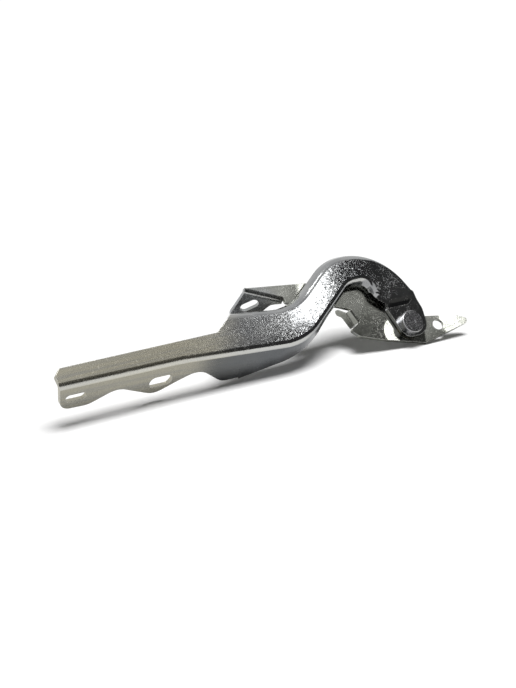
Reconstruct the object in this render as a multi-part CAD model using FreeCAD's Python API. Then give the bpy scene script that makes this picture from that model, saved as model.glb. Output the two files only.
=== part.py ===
"""Car bonnet hinge, zinc-plated pressed steel, lying on a bench with its hinge part-way open.

The pieces are drawn in the frame of the arm's pressing: X along the arm towards the pivot, Y up the
arm's web, Z towards the side that carries the rivet's head, with the pivot on the Z axis and the face
of the arm's boss at Z = 0. The last step leans everything back to the attitude on the bench and puts
the origin at the bracket's round bolt hole.

Corners are (x, y, radius). Those of a flange or a tab are drawn flat: x along its fold from the fold's
start and y below it, negative away from the fold.
"""
import FreeCAD, Part
import math
import os
from FreeCAD import Vector

# Sheet and bends of both pressings
sheet = 3.0
bend_radius = 2.0
bend_angle = 65.0

# Arm: long angle section
arm_end = -295.5
end_chamfer = 4.6
end_corner_radius = 1.0
web_end_height = 13.2
web_root_height = 14.6
web_root = -166.0
web_step_width = 19.5
web_step_height = 13.8
web_corner_radius = 3.0
fold_line = 8.3
fold_straight = -200.0
fold_sweep = 150.0

# Arm: swan neck, raised above the boss
joggle = 7.0
neck_draft = 65.0
neck_width = 21.5
heel = (-97.0, 2.0)
heel_radius = 54.0
arch_start = -42.0
arch_height = 40.5
arch_start_radius = 20.0
arch_side = -21.5
arch_radius = 9.0
shoulder_slope = -5.7
shoulder_point = (-149.5, 33.7)
shoulder_radius = 48.0
crown_radius = 47.0
crown_start = 55.8
crown_side_slope = 112.7
joggle_line = 18.8
joggle_chamfer = 9.0
joggle_radius = 5.0
foot_lap = 0.8
rim_depth = 6.3
lip_depth = 4.6

# Arm: free edge of the lower flange with its scallops, x from the pivot, and the fixing slots
flange_edge = [(-291.0, -21.6, 9.0), (-270.0, -22.2, 16.0), (-249.0, -13.0, 16.0), (-218.0, -26.8, 15.0),
               (-184.0, -12.0, 15.0), (-163.0, -27.6, 12.0), (-149.0, -26.6, 0.0)]
flange_depth = 27.2
heel_taper_end = (-84.0, -0.4, 25.0)
heel_taper_run = 12.0
slot_end = (-281.0, -12.4)
slot_end_size = (15.8, 6.0)
slot_middle = (-214.6, -15.7)
slot_middle_size = (18.2, 9.2)

# Boss and pivot
boss_edge = [(-7.6, -10.0, 8.5), (14.6, -10.0, 12.0), (17.6, 10.0, 15.0), (16.0, 18.0, 8.0),
             (16.0, 25.4, 2.5)]
boss_root = [(9.0, 29.0, 0.0), (-16.0, 24.0, 0.0)]
head_radius = 9.0
head_height = 5.5
head_edge = 0.8
dimple_radius = 2.6
dimple_depth = 0.35
shoulder_shaft_radius = 5.0
rivet_shank_radius = 4.0
tail_radius = 6.8
tail_height = 2.8
tail_edge = 2.0
bush_wall = 1.0
bush_flange = 0.8
bush_flange_radius = 9.4
washer_radius = 8.5
washer_thickness = 1.2
running_clearance = 0.05

# Bracket: flat wall behind the arm
wall_top_left = (-122.2, 54.7, 0.0)
wall_top_right = (-8.0, 42.6, 18.0)
wall_notch = [(-94.8, 37.4, 2.0), (-71.5, 33.0, 12.0), (-51.5, 26.2, 4.0)]
wall_foot = [(-49.7, 6.5, 1.5), (-44.2, 0.3, 6.0), (-24.0, -6.6, 30.0)]

# Bracket: bent tab with the slot
slot_tab_start = (-123.5, 55.2)
slot_tab_slope = -24.0
slot_tab_length = 31.0
slot_tab_edge = [(-3.1, -26.0, 5.0), (17.0, -17.0, 8.0), (23.5, -3.0, 6.0)]
tab_slot_size = (14.0, 7.0)
tab_slot_place = (8.6, -7.8)
tab_slot_turn = 47.0

# Bracket: stiffening lip under the neck
lip_start = (-42.5, 22.2)
lip_slope = -73.0
lip_length = 11.2
lip_edge = [(-7.5, -5.4, 1.2), (-3.0, -7.0, 3.0), (0.5, -4.4, 4.0), (11.8, -4.2, 0.8)]

# Bracket: tab with the round hole, bent slightly forwards
hole_tab_start = (10.6, -15.9)
hole_tab_slope = 73.0
hole_tab_length = 22.0
hole_tab_bend = 12.0
hole_tab_edge = [(17.0, -35.6, 2.0), (20.8, -36.2, 2.0), (23.2, -27.1, 6.0)]
hole_place = (15.2, -11.8)
hole_radius = 4.25

# Attitude on the bench
lean = 48.6
pitch = 0.9

# How far cutting shapes reach past the metal, and untrimmed blanks past their trimmed ends
beyond = 120.0
blank_allowance = 35.0

# Where the rivet and the bracket's wall lie behind the boss
wall_front = -(sheet + bush_flange + running_clearance)
wall_back = wall_front - sheet
flank_slope = math.degrees(math.atan2(arch_height - heel[1], arch_start - heel[0]))


def outline(corners):
    """Closed wire through (x, y, radius) corners, each rounded by its own radius."""
    edges = []
    ends = []
    count = len(corners)
    for i in range(count):
        before = Vector(*corners[i - 1][:2], 0)
        here = Vector(*corners[i][:2], 0)
        after = Vector(*corners[(i + 1) % count][:2], 0)
        radius = corners[i][2]
        back = (before - here).normalize()
        on = (after - here).normalize()
        half = back.getAngle(on) / 2
        if radius == 0:
            ends.append((here, None, here))
            continue
        reach = radius / math.tan(half)
        middle = here + (back + on).normalize() * (radius / math.sin(half) - radius)
        ends.append((here + back * reach, middle, here + on * reach))
    for i in range(count):
        start, middle, finish = ends[i]
        if middle is not None:
            edges.append(Part.Arc(start, middle, finish).toShape())
        following = ends[(i + 1) % count][0]
        if finish.distanceToPoint(following) > 1e-6:
            edges.append(Part.makeLine(finish, following))
    return Part.Wire(edges)


def slab(corners, low, high):
    """Flat prism of an outline between two heights."""
    plate = Part.Face(outline(corners)).extrude(Vector(0, 0, high - low))
    plate.translate(Vector(0, 0, low))
    return plate


def grown(corners, distance, closed=True):
    """The same corners moved to their right-hand side, with the rounded ones kept concentric."""
    last = len(corners) - 1
    moved = []
    for i, (x, y, radius) in enumerate(corners):
        before = corners[i - 1]
        after = corners[(i + 1) % len(corners)]
        into = math.atan2(y - before[1], x - before[0])
        out = math.atan2(after[1] - y, after[0] - x)
        if not closed and i == 0:
            into = out
        if not closed and i == last:
            out = into
        turn = (out - into + math.pi) % (2 * math.pi) - math.pi
        across = into + turn / 2 - math.pi / 2
        reach = distance / math.cos(turn / 2)
        change = distance if turn > 0 else -distance
        new_radius = radius + change if radius else 0
        moved.append((x + reach * math.cos(across), y + reach * math.sin(across), new_radius))
    return moved


def draft_spread(height):
    """How far a drafted wall moves out over a height."""
    return height / math.tan(math.radians(neck_draft))


def drafted(corners, top, low, edge):
    """Solid with sloping sides and a rounded upper edge."""
    upper = outline(corners)
    upper.translate(Vector(0, 0, top))
    lower = outline(grown(corners, draft_spread(top - low)))
    lower.translate(Vector(0, 0, low))
    solid = Part.makeLoft([lower, upper], True, True)
    rim = [e for e in solid.Edges if all(abs(v.Z - top) < 1e-6 for v in e.Vertexes)]
    return solid.makeFillet(edge, rim)


def slot(length, width):
    """Prism of a slot with round ends, along X, through the sheet."""
    half = (length - width) / 2
    depth = 4 * sheet
    prism = Part.makeBox(2 * half, width, 2 * depth, Vector(-half, -width / 2, -depth))
    for end in (-half, half):
        prism = prism.fuse(Part.makeCylinder(width / 2, 2 * depth, Vector(end, 0, -depth)))
    return prism.removeSplitter()


def disc(radius, low, high):
    """Round plate on the pivot axis."""
    return Part.makeCylinder(radius, high - low, Vector(0, 0, low))


def along(start, slope, distance):
    """The point at a distance from a start, in a direction in degrees."""
    angle = math.radians(slope)
    return start[0] + distance * math.cos(angle), start[1] + distance * math.sin(angle)


def crossing(point_a, angle_a, point_b, angle_b):
    """Where two straight lines meet in the plane."""
    ax, ay = along((0, 0), angle_a, 1)
    bx, by = along((0, 0), angle_b, 1)
    distance = ((point_b[0] - point_a[0]) * by - (point_b[1] - point_a[1]) * bx) / (ax * by - ay * bx)
    return along(point_a, angle_a, distance)


def fold_corners():
    """Corners of the arm's fold, from the free end to where the flank meets the arch."""
    return [(arm_end - blank_allowance, fold_line, 0), (fold_straight, fold_line, fold_sweep),
            (*heel, heel_radius), (arch_start, arch_height, arch_start_radius)]


def neck_outline():
    """The pressing's upper face before its long web is trimmed to an angle section.

    The joggle's corners are limited by the straight sides they lie between."""
    flank = along(heel, flank_slope + 90, neck_width)
    shoulder = crossing(shoulder_point, shoulder_slope, flank, flank_slope)
    crown_middle = along(along(flank, flank_slope, crown_start), flank_slope - 90, crown_radius)
    crown_side = along(crown_middle, crown_side_slope - 90, crown_radius)
    crown = crossing(flank, flank_slope, crown_side, crown_side_slope)
    joggle_end = crossing(crown_side, crown_side_slope, (0, joggle_line), 0)
    chamfer = min(joggle_chamfer, arch_height - arch_radius - joggle_line - joggle_radius / 2)
    chamfer_radius = min(joggle_radius, 1.5 * chamfer)
    end_radius = min(joggle_radius, math.dist(crown_side, joggle_end) / 2)
    blank_end = crossing(shoulder_point, shoulder_slope, (arm_end - blank_allowance, 0), 90)
    return fold_corners() + [
        (arch_side, arch_height, arch_radius), (arch_side, joggle_line + chamfer, chamfer_radius),
        (arch_side + chamfer, joggle_line, chamfer_radius), (*joggle_end, end_radius),
        (*crown, crown_radius), (*shoulder, shoulder_radius), (*blank_end, 0)]


def skirt():
    """The deep lower flange below the neck's shallow rim, along the fold and round the heel."""
    side = fold_corners()[:3] + [(*along(heel, flank_slope, heel_radius), 0)]
    wall = sheet / math.sin(math.radians(neck_draft))
    wires = []
    for level in (-sheet, joggle - flange_depth):
        spread = draft_spread(joggle - level)
        band = grown(side, spread, closed=False) + grown(side, spread - wall, closed=False)[::-1]
        wire = outline(band)
        wire.translate(Vector(0, 0, level))
        wires.append(wire)
    return Part.makeLoft(wires, True, True)


def web_trim():
    """What is cut away beyond the arm's free end and above its long web edge."""
    end_top = fold_line + web_end_height
    root_top = fold_line + web_root_height
    step = web_root + web_step_width
    return slab([(arm_end - beyond, beyond, 0), (arm_end - beyond, -beyond, 0), (arm_end, -beyond, 0),
                 (arm_end, end_top - end_chamfer, end_corner_radius),
                 (arm_end + end_chamfer, end_top, end_corner_radius),
                 (web_root, root_top, web_corner_radius), (step, root_top + web_step_height, web_corner_radius),
                 (step, beyond, 0)], -beyond, beyond)


def rim_trim():
    """The lower part of the shallow rims, which stop above the boss and clear of the bracket.

    A line along the middle of the neck parts the outer rim from the inner lip."""
    half = neck_width / 2
    root = (web_root - half, fold_line + web_root_height, 0)
    flank_foot = (*along(heel, flank_slope + 90, half), 0)
    flank_top = (*along((arch_start, arch_height), flank_slope + 90, half), 0)
    right, left = boss_root
    outer = slab([root, flank_foot, flank_top, left, right, (beyond, right[1], 0), (beyond, beyond, 0),
                  (root[0], beyond, 0)], -beyond, joggle - rim_depth)
    lip_from = heel_taper_end[0] + heel_taper_run
    lip_low = heel[1] - half
    middle_y = flank_foot[1] + (lip_from - flank_foot[0]) * math.tan(math.radians(flank_slope))
    inner = slab([(lip_from, lip_low, 0), (boss_edge[0][0], lip_low, 0), left, flank_top,
                  (lip_from, middle_y, 0)], -beyond, joggle - lip_depth)
    return outer.fuse(inner)


def in_flange(shape):
    """Carries a shape drawn flat to the outer face of the arm's lower flange."""
    shape.rotate(Vector(0, 0, 0), Vector(1, 0, 0), bend_angle)
    shape.translate(Vector(0, fold_line, joggle))
    return shape


def flange_trim():
    """What lies beyond the flange's scalloped free edge and its long taper round the heel."""
    start = arm_end - blank_allowance
    last_x, last_y, _ = flange_edge[-1]
    edge = [(start, 0, 0), (arm_end, 0, 0)] + flange_edge + [(last_x, -beyond, 0), (start, -beyond, 0)]
    trim = in_flange(slab(edge, -blank_allowance / 2, blank_allowance / 2))
    from_height = joggle + last_y * math.sin(math.radians(bend_angle))
    lip = joggle - lip_depth
    lip_from = heel_taper_end[0] + heel_taper_run
    lip_to = lip_from + heel_taper_run
    taper = slab([(last_x, from_height, 0), heel_taper_end, (lip_from, lip, 0), (lip_to, lip, 0),
                  (lip_to, -beyond, 0), (last_x, -beyond, 0)], -flange_depth, beyond)
    taper.rotate(Vector(0, 0, 0), Vector(1, 0, 0), 90)
    return trim.fuse(taper)


def flange_slots():
    """The two fixing slots of the lower flange."""
    tools = []
    for place, size in ((slot_end, slot_end_size), (slot_middle, slot_middle_size)):
        tool = slot(*size)
        tool.translate(Vector(*place, 0))
        tools.append(in_flange(tool))
    return tools


def foot_wall():
    """Wall that closes the joggle's left corner between the boss's edge and the inner lip."""
    top_x, top_y, _ = boss_root[-1]
    slant = (boss_edge[0][0] - top_x) / (boss_edge[0][1] - top_y)
    low_x = top_x + (joggle_line - top_y) * slant
    return slab([(top_x, top_y, 0), (low_x, joggle_line, 0), (low_x + sheet, joggle_line, 0),
                 (top_x + sheet, top_y, 0)], -sheet, joggle - lip_depth + foot_lap)


def hinge_arm():
    """The long pressing: angle section, swan neck and boss, with its slots and the bush's hole."""
    face = neck_outline()
    outer = drafted(face, joggle, -sheet, bend_radius + sheet)
    draft = math.radians(neck_draft)
    inset = sheet * (1 - math.cos(draft)) / math.sin(draft)
    pocket = drafted(grown(face, -inset), joggle - sheet, -2 * sheet, bend_radius)
    boss = slab(boss_edge + boss_root, -sheet, 0).cut(pocket)
    arm = outer.cut(pocket).fuse(skirt())
    arm = arm.cut([web_trim(), rim_trim(), flange_trim()]).multiFuse([boss, foot_wall()])
    bush_hole = disc(shoulder_shaft_radius + running_clearance + bush_wall, -2 * sheet, sheet)
    arm = arm.cut(flange_slots() + [bush_hole])
    return arm.removeSplitter()


def fold_axis(angle):
    """Point on the axis of a bend along X: in front of the sheet if it turns forwards."""
    return Vector(0, 0, bend_radius if angle < 0 else -sheet - bend_radius)


def folded_tab(edge, length, angle, holes=()):
    """A bend of one sheet along X and the flat tab beyond it, below the X axis, front face at Z = 0."""
    section = slab([(0, 0, 0), (length, 0, 0), (length, sheet, 0), (0, sheet, 0)], 0, 0.5)
    section.rotate(Vector(0, 0, 0), Vector(1, 0, 0), -90)
    face = [f for f in section.Faces if abs(f.CenterOfMass.y) < 1e-6][0]
    bend = face.revolve(fold_axis(angle), Vector(1, 0, 0), angle)
    tab = slab([(0, 0, 0)] + edge + [(length, 0, 0)], -sheet, 0)
    if holes:
        tab = tab.cut(holes)
    tab.rotate(fold_axis(angle), Vector(1, 0, 0), angle)
    return [bend, tab]


def placed(shape, start, slope):
    """Turns a shape to a fold's direction and moves it to the fold's start on the bracket's wall."""
    shape.rotate(Vector(0, 0, 0), Vector(0, 0, 1), slope)
    shape.translate(Vector(*start, wall_front))
    return shape


def bracket_wall():
    """The bracket's flat wall between its three folds."""
    slot_tab_end = along(slot_tab_start, slot_tab_slope, slot_tab_length)
    lip_end = along(lip_start, lip_slope, lip_length)
    hole_tab_end = along(hole_tab_start, hole_tab_slope, hole_tab_length)
    return slab([(*slot_tab_start, 0), (*slot_tab_end, 0)] + wall_notch + [(*lip_start, 0), (*lip_end, 0)]
                + wall_foot + [(*hole_tab_start, 0), (*hole_tab_end, 0), wall_top_right, wall_top_left],
                wall_back, wall_front)


def body_bracket():
    """The short pressing: wall, slotted tab, lip, and tab with the round hole."""
    tab_slot = slot(*tab_slot_size)
    tab_slot.rotate(Vector(0, 0, 0), Vector(0, 0, 1), tab_slot_turn)
    tab_slot.translate(Vector(*tab_slot_place, 0))
    bolt_hole = Part.makeCylinder(hole_radius, 8 * sheet, Vector(*hole_place, -4 * sheet))
    folds = [(slot_tab_start, slot_tab_slope, folded_tab(slot_tab_edge, slot_tab_length, bend_angle, [tab_slot])),
             (lip_start, lip_slope, folded_tab(lip_edge, lip_length, bend_angle)),
             (hole_tab_start, hole_tab_slope,
              folded_tab(hole_tab_edge, hole_tab_length, -hole_tab_bend, [bolt_hole]))]
    pieces = [placed(piece, start, slope) for start, slope, tab in folds for piece in tab]
    bracket = bracket_wall().multiFuse(pieces)
    return bracket.cut(disc(rivet_shank_radius, wall_back - sheet, 0)).removeSplitter()


def pivot_bush():
    """Thin liner between the rivet's shoulder and the boss, with a flange between boss and bracket."""
    bore = shoulder_shaft_radius + running_clearance
    flange_back = -sheet - bush_flange
    bush = disc(bore + bush_wall, flange_back, 0).fuse(disc(bush_flange_radius, flange_back, -sheet))
    return bush.cut(disc(bore, flange_back - sheet, sheet)).removeSplitter()


def circle_at(shape, height):
    """The round edges of a turned shape at one height."""
    return [e for e in shape.Edges if e.Curve.TypeId == "Part::GeomCircle"
            and abs(e.Curve.Center.z - height) < 1e-6]


def pivot_rivet():
    """Flat head with a shallow dimple, shoulder that turns in the bush, shank and peened tail."""
    head = disc(head_radius, running_clearance, head_height)
    head = head.makeFillet(head_edge, circle_at(head, head_height))
    ball = (dimple_radius ** 2 + dimple_depth ** 2) / (2 * dimple_depth)
    head = head.cut(Part.makeSphere(ball, Vector(0, 0, head_height - dimple_depth + ball)))
    washer_back = wall_back - washer_thickness
    shaft = disc(shoulder_shaft_radius, wall_front, running_clearance)
    shank = disc(rivet_shank_radius, washer_back, wall_front)
    tail = disc(tail_radius, washer_back - tail_height, washer_back)
    tail = tail.makeFillet(tail_edge, circle_at(tail, washer_back - tail_height))
    return head.multiFuse([shaft, shank, tail]).removeSplitter()


def tail_washer():
    """Plain washer between the bracket and the rivet's peened tail."""
    ring = disc(washer_radius, wall_back - washer_thickness, wall_back)
    return ring.cut(disc(rivet_shank_radius, wall_back - 2 * washer_thickness, wall_front))


def leaned(shape):
    """Turns a piece from the arm's frame to the attitude on the bench."""
    shape.rotate(Vector(0, 0, 0), Vector(1, 0, 0), lean)
    shape.rotate(Vector(0, 0, 0), Vector(0, 1, 0), pitch)
    return shape


def body_bolt_centre():
    """Middle of the bracket's round hole, half-way through the sheet: the origin of the whole part."""
    point = Part.Vertex(*hole_place, -sheet / 2)
    point.rotate(fold_axis(-hole_tab_bend), Vector(1, 0, 0), -hole_tab_bend)
    return leaned(placed(point, hole_tab_start, hole_tab_slope)).Point


def save(name, shape):
    """Places a piece in the part's frame and writes it."""
    leaned(shape).translate(body_bolt_centre() * -1)
    shape.exportStep("parts/%s.step" % name)
    print(name, len(shape.Solids), shape.isValid(), round(shape.Volume))


os.makedirs("parts", exist_ok=True)
save("hinge_arm", hinge_arm())
save("body_bracket", body_bracket())
save("pivot_bush", pivot_bush())
save("pivot_rivet", pivot_rivet())
save("tail_washer", tail_washer())
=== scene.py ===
"""Car bonnet hinge on a white table: pressings of zinc-plated steel sheet joined by one large rivet."""
import bpy
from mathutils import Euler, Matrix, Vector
from math import radians

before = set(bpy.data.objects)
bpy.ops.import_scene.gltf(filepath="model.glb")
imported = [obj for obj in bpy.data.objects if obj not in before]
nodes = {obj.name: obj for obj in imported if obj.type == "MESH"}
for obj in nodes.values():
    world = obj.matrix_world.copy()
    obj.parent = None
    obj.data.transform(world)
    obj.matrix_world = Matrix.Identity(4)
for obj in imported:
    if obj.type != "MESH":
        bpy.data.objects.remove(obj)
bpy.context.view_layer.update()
scene = bpy.context.scene


# ---- Hinge arm ----------------------------------------------------------------------------------
# The long swan-necked pressing of 3 mm steel sheet. It is zinc plated after forming: semi-bright
# and finely crystalline on the flats, with a thin yellowish passivation film on the long section.

def empty_group(name, inputs, outputs):
    """A shader node group with its sockets, and its input and output nodes."""
    group = bpy.data.node_groups.new(name, "ShaderNodeTree")
    for label, kind, value in inputs:
        socket = group.interface.new_socket(label, in_out="INPUT", socket_type=kind)
        socket.default_value = value
    for label, kind in outputs:
        group.interface.new_socket(label, in_out="OUTPUT", socket_type=kind)
    return group, group.nodes.new("NodeGroupInput"), group.nodes.new("NodeGroupOutput")


def add(tree, kind, values=None, **settings):
    """One node with its settings, and its inputs given as values or as sockets to link."""
    node = tree.nodes.new(kind)
    for key, value in settings.items():
        setattr(node, key, value)
    for key, value in (values or {}).items():
        if isinstance(value, bpy.types.NodeSocket):
            tree.links.new(value, node.inputs[key])
        else:
            node.inputs[key].default_value = value
    return node


def calc(tree, operation, first, second=0.0, third=0.0):
    """A math node's result."""
    return add(tree, "ShaderNodeMath", {0: first, 1: second, 2: third}, operation=operation).outputs[0]


def vector(tree, operation, first, second=(0.0, 0.0, 0.0), output="Vector"):
    """A vector math node's result."""
    return add(tree, "ShaderNodeVectorMath", {0: first, 1: second}, operation=operation).outputs[output]


def scaled(tree, first, factor):
    """A vector times a factor."""
    return add(tree, "ShaderNodeVectorMath", {0: first, "Scale": factor}, operation="SCALE").outputs[0]


def noise(tree, place, scale, detail, roughness=0.5):
    """A noise texture's value."""
    return add(tree, "ShaderNodeTexNoise", {"Vector": place, "Scale": scale, "Detail": detail,
                                            "Roughness": roughness}).outputs["Fac"]


def spread(tree, value, low, high, new_low=0.0, new_high=1.0):
    """A value's range stretched to another, with smooth ends."""
    return add(tree, "ShaderNodeMapRange", {"Value": value, "From Min": low, "From Max": high,
                                            "To Min": new_low, "To Max": new_high},
               interpolation_type="SMOOTHSTEP").outputs[0]


def blend(tree, factor, first, second):
    """Two colours mixed by a factor."""
    return add(tree, "ShaderNodeMix", {0: factor, 6: first, 7: second}, data_type="RGBA").outputs[2]


def crystal_group():
    """Zinc crystals: grains that each tilt their own way, in patches, over slightly rounded edges."""
    group, given, result = empty_group(
        "zinc_crystals",
        [("Grain Size", "NodeSocketFloat", 0.0005), ("Tilt", "NodeSocketFloat", 0.01),
         ("Edge Radius", "NodeSocketFloat", 0.0005), ("Lean", "NodeSocketVector", (0.0, 0.0, 0.0))],
        [("Normal", "NodeSocketVector"), ("Grain", "NodeSocketFloat"), ("Matte", "NodeSocketFloat")])
    place = group.nodes.new("ShaderNodeTexCoord").outputs["Object"]
    per_metre = calc(group, "DIVIDE", 1.0, given.outputs["Grain Size"])

    # The grains: two sizes of cell with wandering borders, each with its own tilt
    warp = add(group, "ShaderNodeTexNoise",
               {"Vector": place, "Scale": calc(group, "MULTIPLY", per_metre, 0.8), "Detail": 2.0})
    shifted = vector(group, "SUBTRACT", warp.outputs["Color"], (0.5, 0.5, 0.5))
    shifted = scaled(group, shifted, given.outputs["Grain Size"])
    moved = vector(group, "ADD", place, shifted)
    grains = add(group, "ShaderNodeTexVoronoi", {"Vector": moved, "Scale": per_metre})
    coarse = add(group, "ShaderNodeTexVoronoi",
                 {"Vector": moved, "Scale": calc(group, "MULTIPLY", per_metre, 0.45)})
    tilt = vector(group, "ADD", grains.outputs["Color"], coarse.outputs["Color"])
    tilt = vector(group, "SUBTRACT", tilt, (1.0, 1.0, 1.0))

    # A few grains tilt far more than the rest, and more of them in some patches
    patches = spread(group, noise(group, place, 90.0, 4.0, 0.6), 0.35, 0.65)
    steep = vector(group, "LENGTH", tilt, output="Value")
    steep = calc(group, "MULTIPLY_ADD", calc(group, "POWER", steep, 2.5), 1.5, 0.35)
    amount = calc(group, "MULTIPLY", given.outputs["Tilt"], calc(group, "MULTIPLY_ADD", patches, 0.7, 0.45))
    tilt = scaled(group, tilt, calc(group, "MULTIPLY", amount, steep))
    rounded = add(group, "ShaderNodeBevel", {"Radius": given.outputs["Edge Radius"]}, samples=4).outputs[0]
    normal = vector(group, "ADD", vector(group, "ADD", rounded, tilt), given.outputs["Lean"])
    group.links.new(vector(group, "NORMALIZE", normal), result.inputs["Normal"])
    group.links.new(grains.outputs["Distance"], result.inputs["Grain"])

    # Some grains are matter than others
    shade = add(group, "ShaderNodeSeparateColor", {0: grains.outputs["Color"]})
    matte = spread(group, shade.outputs["Red"], 0.5, 1.0)
    matte = calc(group, "MULTIPLY", matte, calc(group, "MULTIPLY_ADD", patches, 0.8, 0.2))
    group.links.new(matte, result.inputs["Matte"])
    return group


def edge_group():
    """Where a piece turns a sharp corner: the plating is burnished there, and the same mask paints a
    highlight along the rims.
    """
    group, given, result = empty_group(
        "burnished_and_highlit_edges", [("Width", "NodeSocketFloat", 0.0008)], [("Mask", "NodeSocketFloat")])
    rounded = add(group, "ShaderNodeBevel", {"Radius": given.outputs["Width"]}, samples=4).outputs[0]
    true_normal = group.nodes.new("ShaderNodeNewGeometry").outputs["Normal"]
    match = vector(group, "DOT_PRODUCT", rounded, true_normal, output="Value")
    group.links.new(spread(group, match, 0.995, 0.88), result.inputs["Mask"])
    return group


def scratch_group():
    """Handling marks: fine straight scratches in a few directions, and small dull spots."""
    group, given, result = empty_group(
        "handling_marks", [("Amount", "NodeSocketFloat", 1.0)],
        [("Height", "NodeSocketFloat"), ("Spots", "NodeSocketFloat")])
    place = group.nodes.new("ShaderNodeTexCoord").outputs["Object"]
    total = None
    for turn, shift in ((0.35, 1.0), (-0.8, 5.0), (1.3, 9.0)):
        laid = add(group, "ShaderNodeMapping",
                   {"Vector": place, "Location": (shift, shift, 0.0), "Rotation": (0.85, turn, turn),
                    "Scale": (45.0, 1500.0, 300.0)})
        line = spread(group, noise(group, laid.outputs[0], 1.0, 1.0), 0.70, 0.78)
        total = line if total is None else calc(group, "MAXIMUM", total, line)
    sparse = noise(group, place, 60.0, 1.0)
    total = calc(group, "MULTIPLY", total, spread(group, sparse, 0.45, 0.7))
    group.links.new(calc(group, "MULTIPLY", total, given.outputs["Amount"]), result.inputs["Height"])
    spots = noise(group, place, 420.0, 3.0, 0.7)
    group.links.new(spread(group, spots, 0.56, 0.72), result.inputs["Spots"])
    return group


def dent_group():
    """A shallow dent or bulge left by the press: the surface leans one way near a point."""
    group, given, result = empty_group(
        "press_lean",
        [("Before", "NodeSocketVector", (0.0, 0.0, 0.0)), ("Centre", "NodeSocketVector", (0.0, 0.0, 0.0)),
         ("Inner", "NodeSocketFloat", 0.01), ("Outer", "NodeSocketFloat", 0.02),
         ("Lean", "NodeSocketVector", (0.0, 0.0, 0.0))],
        [("Lean", "NodeSocketVector")])
    place = group.nodes.new("ShaderNodeTexCoord").outputs["Object"]
    away = vector(group, "DISTANCE", place, given.outputs["Centre"], output="Value")
    near = spread(group, away, given.outputs["Inner"], given.outputs["Outer"], 1.0, 0.0)
    lean = scaled(group, given.outputs["Lean"], near)
    group.links.new(vector(group, "ADD", given.outputs["Before"], lean), result.inputs["Lean"])
    return group


# The arm's flats face flat_way, and the next two directions lie in them
flat_way = (0.0104, -0.7501, 0.6612)
along_arm = (0.99988, 0.0, -0.01571)
up_web = (0.01178, 0.6613, 0.75)
pivot = (-0.0266868, 0.0011591, 0.0059991)


def drawn_group():
    """A gently drawn face: inside a box, the shading leans back to the arm's flats.

    The box's sides are distances from the pivot, and the lean fades in over the margin."""
    group, given, result = empty_group(
        "drawn_out",
        [("Amount", "NodeSocketFloat", 0.85), ("Left", "NodeSocketFloat", -0.023),
         ("Right", "NodeSocketFloat", 0.03), ("Low", "NodeSocketFloat", 0.014),
         ("High", "NodeSocketFloat", 0.0265), ("Margin", "NodeSocketFloat", 0.0025)],
        [("Lean", "NodeSocketVector")])
    place = group.nodes.new("ShaderNodeTexCoord").outputs["Object"]
    offset = vector(group, "SUBTRACT", place, pivot)
    near = None
    for way, low, high in ((along_arm, "Left", "Right"), (up_web, "Low", "High")):
        reach = vector(group, "DOT_PRODUCT", offset, way, output="Value")
        for edge, inwards in ((low, "ADD"), (high, "SUBTRACT")):
            start = given.outputs[edge]
            inside = spread(group, reach, start, calc(group, inwards, start, given.outputs["Margin"]))
            near = inside if near is None else calc(group, "MULTIPLY", near, inside)
    true_normal = group.nodes.new("ShaderNodeNewGeometry").outputs["Normal"]
    back = vector(group, "SUBTRACT", flat_way, true_normal)
    lean = scaled(group, back, calc(group, "MULTIPLY", near, given.outputs["Amount"]))
    group.links.new(lean, result.inputs["Lean"])
    return group


crystals = crystal_group()
dents = dent_group()
drawn_out = drawn_group()
edge_wear_and_highlight_group = edge_group()
marks = scratch_group()


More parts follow.
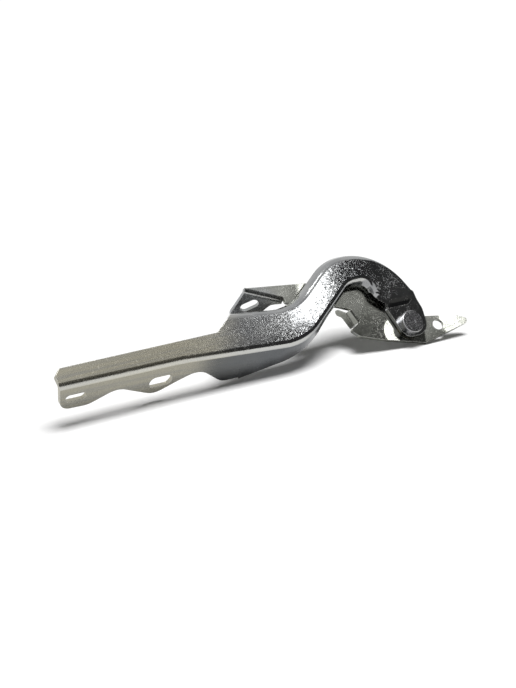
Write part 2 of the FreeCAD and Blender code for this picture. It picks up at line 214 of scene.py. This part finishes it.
def plated_material(name, bright, dull, roughness, matte, tilt, film=(0.40, 0.38, 0.305),
                    film_from=-1.0, film_to=-0.9, film_roughness=0.26, leans=(), drawn=None):
    """Zinc over steel: crystals, rolling streaks, handling marks and burnished edges, with painted light as
    well: shade on the skirt's lower face, a highlight on bends that face the front, and more highlight
    along the edges.

    A tinted film covers it up to film_from along X and is gone at film_to. As they stand by
    default, these two leave a piece without a film."""
    # The second colour here is painted shade for the skirt's lower face.
    spot_tone, skirt_painted_shade = (0.30, 0.30, 0.29, 1.0), (0.07, 0.075, 0.08, 1.0)
    # The first colour here is the burnished edges' tone, partly a painted highlight on the rims. The second
    # is a painted highlight for bends that face the front.
    worn_edge_and_highlight, bend_painted_highlight = (0.66, 0.66, 0.62, 1.0), (0.58, 0.58, 0.55, 1.0)
    material = bpy.data.materials.new(name)
    material.use_nodes = True
    tree = material.node_tree
    shader = tree.nodes["Principled BSDF"]
    shader.inputs["Metallic"].default_value = 1.0

    # Where the press left the sheet not quite flat
    lean = None
    if drawn is not None:
        lean = add(tree, "ShaderNodeGroup", node_tree=drawn_out)
        for side, value in drawn.items():
            lean.inputs[side].default_value = value
        lean = lean.outputs["Lean"]
    for centre, inner, outer, way in leans:
        dent = add(tree, "ShaderNodeGroup", node_tree=dents)
        for label, value in (("Centre", centre), ("Inner", inner), ("Outer", outer), ("Lean", way)):
            dent.inputs[label].default_value = value
        if lean is not None:
            tree.links.new(lean, dent.inputs["Before"])
        lean = dent.outputs["Lean"]

    # The film ends along a wandering line, and the grains show less under it
    place = tree.nodes.new("ShaderNodeTexCoord").outputs["Object"]
    cloud = noise(tree, place, 32.0, 3.0)
    along = add(tree, "ShaderNodeSeparateXYZ", {0: place}).outputs["X"]
    past_film = spread(tree, calc(tree, "MULTIPLY_ADD", cloud, 0.05, along), film_from, film_to)
    skin = add(tree, "ShaderNodeGroup", node_tree=crystals)
    tree.links.new(spread(tree, past_film, 0.0, 1.0, 0.15 * tilt, tilt), skin.inputs["Tilt"])
    if lean is not None:
        tree.links.new(lean, skin.inputs["Lean"])

    # Clouds of bright and dull zinc, streaks from the rolling mill, and dull spots
    colour = blend(tree, spread(tree, cloud, 0.35, 0.68), (*bright, 1.0), (*dull, 1.0))
    colour = blend(tree, past_film, (*film, 1.0), colour)
    laid = add(tree, "ShaderNodeMapping", {"Vector": place, "Scale": (14.0, 420.0, 420.0)}).outputs[0]
    rolled = noise(tree, laid, 1.0, 4.0)
    colour = blend(tree, spread(tree, rolled, 0.42, 0.7, 0.0, 0.45), colour, (*dull, 1.0))
    wear = add(tree, "ShaderNodeGroup", node_tree=marks)
    colour = blend(tree, calc(tree, "MULTIPLY", wear.outputs["Spots"], 0.2), colour, spot_tone)

    # Painted shade darkens the skirt's lower face, as if it mirrored the hinge's shadow on the table. Bends
    # that face the front get a painted highlight, and edges are burnished with a painted highlight on top.
    facing = add(tree, "ShaderNodeSeparateXYZ", {0: tree.nodes.new("ShaderNodeTexCoord").outputs["Normal"]})
    skirt_shade_mask = calc(tree, "MULTIPLY", spread(tree, facing.outputs["Z"], -0.33, -0.395),
                      spread(tree, facing.outputs["Z"], -0.55, -0.45))
    skirt_shade_mask = calc(tree, "MULTIPLY", skirt_shade_mask, spread(tree, along, -0.222, -0.195, 0.35, 1.0))
    colour = blend(tree, calc(tree, "MULTIPLY", skirt_shade_mask, 0.85), colour, skirt_painted_shade)
    # Painted highlight: bends that face the front are lightened, as where they mirror the bright horizon.
    bend_highlight_mask = spread(tree, facing.outputs["Y"], -0.925, -0.985)
    colour = blend(tree, calc(tree, "MULTIPLY", bend_highlight_mask, 0.6), colour, bend_painted_highlight)
    # Burnished edges, lightened further as a painted highlight on the rims.
    edge_wear_and_highlight_mask = add(tree, "ShaderNodeGroup", node_tree=edge_wear_and_highlight_group)
    colour = blend(tree, calc(tree, "MULTIPLY", edge_wear_and_highlight_mask.outputs["Mask"], 0.5), colour, worn_edge_and_highlight)
    tree.links.new(colour, shader.inputs["Base Color"])

    # Roughness: the film is even, the bare zinc changes from grain to grain
    rough = spread(tree, past_film, 0.0, 1.0, film_roughness, roughness)
    grainy = calc(tree, "MULTIPLY", skin.outputs["Matte"], calc(tree, "MULTIPLY_ADD", past_film, 0.9, 0.1))
    rough = calc(tree, "MULTIPLY_ADD", grainy, matte, rough)
    rough = calc(tree, "MULTIPLY_ADD", wear.outputs["Spots"], 0.12, rough)
    tree.links.new(rough, shader.inputs["Roughness"])

    # Relief: grains stand up a little and scratches lie below them
    grain_height = calc(tree, "MULTIPLY", skin.outputs["Grain"], calc(tree, "MULTIPLY", past_film, 0.2))
    relief = calc(tree, "SUBTRACT", grain_height, wear.outputs["Height"])
    bump = add(tree, "ShaderNodeBump", {"Height": relief, "Distance": 0.00003, "Strength": 0.6,
                                        "Normal": skin.outputs["Normal"]})
    tree.links.new(bump.outputs[0], shader.inputs["Normal"])
    return material


def finish(node, material):
    """A CAD piece takes one material."""
    mesh = nodes[node].data
    mesh.materials.clear()
    mesh.materials.append(material)


# The skirt's lower edge curls under a little, and the ramp below the crown is drawn out gently
skirt_curl = (0.0, 0.115, -0.20)
arm_zinc = plated_material(
    "plated_sheet", bright=(0.35, 0.355, 0.355), dull=(0.26, 0.265, 0.27), film=(0.40, 0.38, 0.305),
    film_from=-0.20, film_to=-0.13, roughness=0.06, film_roughness=0.26, matte=0.28, tilt=0.0135,
    leans=[((-0.189, 0.012, -0.012), 0.003, 0.016, skirt_curl),
           ((-0.170, 0.011, -0.011), 0.003, 0.016, skirt_curl),
           ((-0.150, 0.009, -0.006), 0.003, 0.015, skirt_curl),
           ((-0.134, 0.006, 0.002), 0.003, 0.014, skirt_curl)],
    drawn={"Amount": 0.85, "Left": -0.023, "Right": 0.03, "Low": 0.014, "High": 0.0265, "Margin": 0.0025})
finish("hinge_arm", arm_zinc)


# ---- Body bracket ---------------------------------------------------------------------------------
# The short pressing behind the arm, bent from the same sheet and plated in the same bath. It has
# the round hole and the slotted tab for the car body, and carries the rivet.
bracket_zinc = plated_material(
    "plated_sheet_bracket", bright=(0.38, 0.385, 0.355), dull=(0.24, 0.245, 0.22), film=(0.31, 0.32, 0.335),
    film_from=-0.13, film_to=-0.10, roughness=0.13, film_roughness=0.22, matte=0.20, tilt=0.0045,
    leans=[((-0.135, 0.037, 0.042), 0.02, 0.034, (-0.100, 0.018, 0.014)),
           ((-0.064, 0.014, 0.016), 0.040, 0.048, (-0.130, 0.015, 0.005)),
           ((-0.036, 0.001, 0.001), 0.0125, 0.014, (0.052, 0.033, 0.043)),
           ((0.015, -0.003, 0.001), 0.012, 0.016, (0.066, 0.006, 0.020))])
finish("body_bracket", bracket_zinc)


# ---- Pivot rivet, its bush and the tail washer ------------------------------------------------------
# A turned shouldered rivet with a large flat head, plated a little darker than the sheet. Its tail
# is peened over a plain washer, and a thin liner lets the arm turn.

# The middle of the head is shaded flat, this far each way from the pivot
dimple = 0.004
rivet_zinc = plated_material(
    "rivet_steel", bright=(0.34, 0.34, 0.35), dull=(0.25, 0.25, 0.26), roughness=0.22, matte=0.12,
    tilt=0.005,
    drawn={"Amount": 0.8, "Left": -dimple, "Right": dimple, "Low": -dimple, "High": dimple,
           "Margin": 0.001})
finish("pivot_rivet", rivet_zinc)
finish("tail_washer", rivet_zinc)
bush_metal = plated_material(
    "bush_liner", bright=(0.50, 0.40, 0.22), dull=(0.42, 0.33, 0.18), roughness=0.35, matte=0.1, tilt=0.01)
finish("pivot_bush", bush_metal)


# ---- Table ------------------------------------------------------------------------------------------
# A white table top in a white room. It keeps the hinge's soft shadow, and shows white to the eye and
# in the metal.

def eye_rays(tree):
    """One for rays that end in the camera: straight, mirrored or through glass."""
    sight = tree.nodes.new("ShaderNodeLightPath")
    seen = calc(tree, "MAXIMUM", sight.outputs["Is Camera Ray"], sight.outputs["Is Glossy Ray"])
    return calc(tree, "MAXIMUM", seen, sight.outputs["Is Transmission Ray"])


table_top = -0.0108
half = 6.0
hinge_middle = (-0.15, 0.0, 0.0)
# The table takes the shadow within the first distance, and is plain white past the second
shadow_reach, plain_from = 0.22, 0.55
own_glow = 0.03
table_mesh = bpy.data.meshes.new("table")
table_mesh.from_pydata([(-half, -half, table_top), (half, -half, table_top),
                        (half, half, table_top), (-half, half, table_top)], [], [(0, 1, 2, 3)])
table = bpy.data.objects.new("table", table_mesh)
scene.collection.objects.link(table)
table_paint = bpy.data.materials.new("white_table")
table_paint.use_nodes = True
paint_tree = table_paint.node_tree
paint = paint_tree.nodes["Principled BSDF"]
paint.inputs["Roughness"].default_value = 1.0
paint.inputs["Specular IOR Level"].default_value = 0.0
paint.inputs["Emission Color"].default_value = (1.0, 1.0, 1.0, 1.0)
place = paint_tree.nodes.new("ShaderNodeTexCoord").outputs["Object"]
distance = vector(paint_tree, "DISTANCE", place, hinge_middle, output="Value")
far = spread(paint_tree, distance, shadow_reach, plain_from)
glow = calc(paint_tree, "MULTIPLY_ADD", far, 1.0 - own_glow, own_glow)
glow = calc(paint_tree, "MULTIPLY", eye_rays(paint_tree), glow)
paint_tree.links.new(glow, paint.inputs["Emission Strength"])
# Far out the paint is dark, and the glow alone makes the table white there
near_paint = blend(paint_tree, far, (0.92, 0.92, 0.92, 1.0), (0.2, 0.2, 0.2, 1.0))
paint_tree.links.new(near_paint, paint.inputs["Base Color"])
table_mesh.materials.append(table_paint)

world = bpy.data.worlds.new("white_room")
scene.world = world
world.use_nodes = True
air = world.node_tree
room = air.nodes["Background"]
room.inputs["Color"].default_value = (1.0, 1.0, 1.0, 1.0)
glow = calc(air, "MULTIPLY_ADD", eye_rays(air), 1.0 - own_glow, own_glow)
air.links.new(glow, room.inputs["Strength"])


# ---- Lamps and cards --------------------------------------------------------------------------------
# One broad softbox overhead throws the soft shadow down. A narrow strip in front lights the neck,
# between a grey card and a black one that the flats mirror, and two dark flags stand by the table.

def softbox(name, place, target, width, height, watts):
    """A rectangular lamp aimed at a point."""
    data = bpy.data.lights.new(name, "AREA")
    data.shape = "RECTANGLE"
    data.size = width
    data.size_y = height
    data.energy = watts
    light = bpy.data.objects.new(name, data)
    light.location = place
    light.rotation_euler = (Vector(target) - Vector(place)).to_track_quat("-Z", "Y").to_euler()
    scene.collection.objects.link(light)


softbox("overhead_softbox", (-0.15, -0.25, 1.9), hinge_middle, 1.1, 0.9, 46.0)

# The plane that the arm's flats mirror to the camera: its centre, and its right and up
card_centre = Vector((0.26159, -0.30669, 0.52633))
card_right = Vector((0.61381, 0.78946, 0.0))
card_up = Vector((-0.57103, 0.44398, 0.69051))


def card(name, corners, level):
    """A flat card, seen only in the metal."""
    mesh = bpy.data.meshes.new(name)
    mesh.from_pydata(corners, [], [tuple(range(len(corners)))])
    board = bpy.data.objects.new(name, mesh)
    scene.collection.objects.link(board)
    board.visible_camera = False
    board.visible_diffuse = False
    board.visible_shadow = False
    cover = bpy.data.materials.new(name)
    cover.use_nodes = True
    surface = cover.node_tree.nodes["Principled BSDF"]
    surface.inputs["Base Color"].default_value = (0.0, 0.0, 0.0, 1.0)
    surface.inputs["Specular IOR Level"].default_value = 0.0
    surface.inputs["Emission Color"].default_value = (1.0, 1.0, 1.0, 1.0)
    surface.inputs["Emission Strength"].default_value = level
    mesh.materials.append(cover)


def across_mirror(nearer, corners):
    """Points on a plane that the arm's flats mirror, from right and up on it."""
    toward = card_right.cross(card_up) * -nearer
    return [card_centre + toward + card_right * u + card_up * v for u, v in corners]


# Corners that neighbouring cards share
strip_left, strip_foot, strip_head = (0.022, -0.006), (0.044, -0.026), (0.040, 0.025)
card("grey_card", across_mirror(0.0, [(0.2, -0.20), (-0.6, 0.49), (-0.6, 0.9), (0.3, 0.25)]), 0.76)
card("black_card", across_mirror(0.01, [(-0.6, 0.50), (-0.02, 0.013), strip_left, strip_foot,
                                        (0.075, -0.003), (0.15, 0.03), (0.75, 0.03), (0.75, -0.6),
                                        (-0.6, -0.6)]), 0.06)
card("white_strip", across_mirror(0.02, [strip_left, strip_foot, (0.078, -0.001), (0.105, 0.025),
                                         (0.085, 0.07), strip_head]), 9.0)
card("shade_card", across_mirror(0.005, [(-0.05, 0.027), strip_left, strip_head, (0.02, 0.09),
                                         (-0.05, 0.10)]), 0.45)
flag_level = 0.03
card("front_flag", [(-1.6, -1.0, 0.02), (0.6, -1.0, 0.02), (0.6, -0.9, 0.55), (-1.6, -0.9, 0.55)],
     flag_level)
card("right_flag", [(0.6, -1.0, 0.02), (0.9, 0.5, 0.02), (0.9, 0.5, 0.5), (0.6, -1.0, 0.5)], flag_level)


# ---- Camera -----------------------------------------------------------------------------------------
# A long lens looks down on the hinge from the rivet's side, about twenty degrees above the table,
# with the arm's free end nearest and the pivot furthest away.
camera_data = bpy.data.cameras.new("table_camera")
camera_data.sensor_width = 36.0
camera_data.lens = 86.34
camera = bpy.data.objects.new("table_camera", camera_data)
camera.location = (-0.784656, -0.889904, 0.425562)
from_straight_down, roll, turn = radians(69.4659), radians(-0.1959), radians(-34.7411)
camera.rotation_euler = Euler((from_straight_down, roll, turn), "XYZ")
scene.collection.objects.link(camera)
scene.camera = camera
scene.view_settings.view_transform = "Standard"
